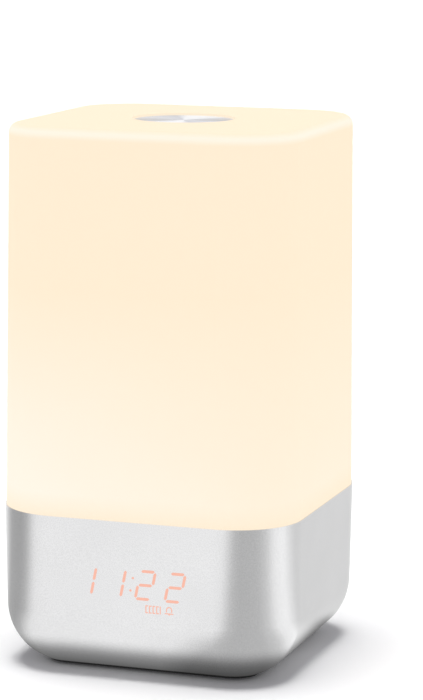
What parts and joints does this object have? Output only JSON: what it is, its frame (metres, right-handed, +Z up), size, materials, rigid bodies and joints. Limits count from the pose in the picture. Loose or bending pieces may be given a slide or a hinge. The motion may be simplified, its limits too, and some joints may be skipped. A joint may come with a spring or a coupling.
{
  "type": "sunrise alarm clock",
  "caption": "Bedside wake-up light: an opal rounded-square lamp tower on a satin metal base with a glowing time display, a touch disc on top and control keys at the back.",
  "frame": {"origin": "on the table, under the centre of the square base", "axes": "+Z up along the tower, front with the time display towards -Y, +X to the right seen from the front"},
  "size_m": [0.1, 0.1, 0.1766],
  "materials": {
    "brushed_base": "fine satin",
    "lit_display": "lit",
    "dark_display": "fine satin",
    "black_plastic": "fine texture",
    "circuit_board": "solder mask",
    "ribbon_cable": "smooth",
    "plated_steel": "plated",
    "opal_shade": "satin opal plastic, lit from inside",
    "spun_disc": "spun in rings",
    "adhesive_tape": "foam",
    "spring_steel": "bright",
    "white_plastic": "smooth",
    "lead_insulation": "smooth",
    "raw_aluminium": "mill",
    "white_board": "solder mask",
    "led_phosphor": "moulded",
    "led_clear": "moulded",
    "grey_plastic": "fine texture",
    "component_black": "moulded",
    "key_plastic": "fine texture",
    "brass_contact": "plated",
    "foot_rubber": "matt",
    "cell_steel": "polished",
    "foam_rubber": "foam",
    "speaker_steel": "painted",
    "paper_cone": "pressed paper",
    "ferrite": "sintered"
  },
  "bodies": {
    "housing": {"base_shell": "brushed_base", "display_lit_bars": "lit_display", "display_dark_bars": "dark_display", "display_module": "black_plastic", "display_board": "circuit_board", "display_ribbon": "ribbon_cable", "display_board_screws": "plated_steel", "shade": "opal_shade", "touch_disc": "spun_disc", "disc_tape": "adhesive_tape", "touch_spring": "spring_steel", "touch_post": "white_plastic", "touch_lead": "lead_insulation", "light_tray": "white_plastic", "shade_screws": "plated_steel", "heat_plate": "raw_aluminium", "led_board": "white_board", "white_leds": "led_phosphor", "colour_leds": "led_clear", "led_screws": "plated_steel", "led_leads": "lead_insulation", "inner_frame": "grey_plastic", "main_board": "circuit_board", "main_board_parts": "component_black", "main_board_screws": "plated_steel", "rear_panel": "black_plastic", "key_switches": "component_black", "key_board": "circuit_board", "key_ribbon": "ribbon_cable", "key_board_screws": "plated_steel", "power_jack": "component_black", "power_jack_pin": "brass_contact", "bottom_cover": "black_plastic", "bottom_screws": "plated_steel", "rubber_feet": "foot_rubber", "backup_cell": "cell_steel", "cell_holder": "grey_plastic", "cell_contact": "spring_steel", "speaker_gasket": "foam_rubber", "speaker_frame": "speaker_steel", "speaker_cone": "paper_cone", "speaker_magnet": "ferrite", "speaker_leads": "lead_insulation"},
    "key_time_body": {"key_time": "key_plastic", "plunger_time": "component_black"},
    "key_alarm_body": {"key_alarm": "key_plastic", "plunger_alarm": "component_black"},
    "key_light_body": {"key_light": "key_plastic", "plunger_light": "component_black"},
    "key_sound_body": {"key_sound": "key_plastic", "plunger_sound": "component_black"},
    "key_minus_body": {"key_minus": "key_plastic", "plunger_minus": "component_black"},
    "key_plus_body": {"key_plus": "key_plastic", "plunger_plus": "component_black"},
    "battery_door_body": {"battery_door": "black_plastic"}
  },
  "joints": [
    {"name": "time_key_press", "type": "slide", "parent": "housing", "child": "key_time_body", "axis": [0, -1, 0], "range_m": [0, 0.0005], "stiffness_N_per_m": 200},
    {"name": "alarm_key_press", "type": "slide", "parent": "housing", "child": "key_alarm_body", "axis": [0, -1, 0], "range_m": [0, 0.0005], "stiffness_N_per_m": 200},
    {"name": "light_key_press", "type": "slide", "parent": "housing", "child": "key_light_body", "axis": [0, -1, 0], "range_m": [0, 0.0005], "stiffness_N_per_m": 200},
    {"name": "sound_key_press", "type": "slide", "parent": "housing", "child": "key_sound_body", "axis": [0, -1, 0], "range_m": [0, 0.0005], "stiffness_N_per_m": 200},
    {"name": "minus_key_press", "type": "slide", "parent": "housing", "child": "key_minus_body", "axis": [0, -1, 0], "range_m": [0, 0.0005], "stiffness_N_per_m": 200},
    {"name": "plus_key_press", "type": "slide", "parent": "housing", "child": "key_plus_body", "axis": [0, -1, 0], "range_m": [0, 0.0005], "stiffness_N_per_m": 200},
    {"name": "battery_door_turn", "type": "hinge", "parent": "housing", "child": "battery_door_body", "pos_m": [0.0105, -0.0105, 0], "axis": [0, 0, -1], "range_deg": [0, 60]}
  ]
}
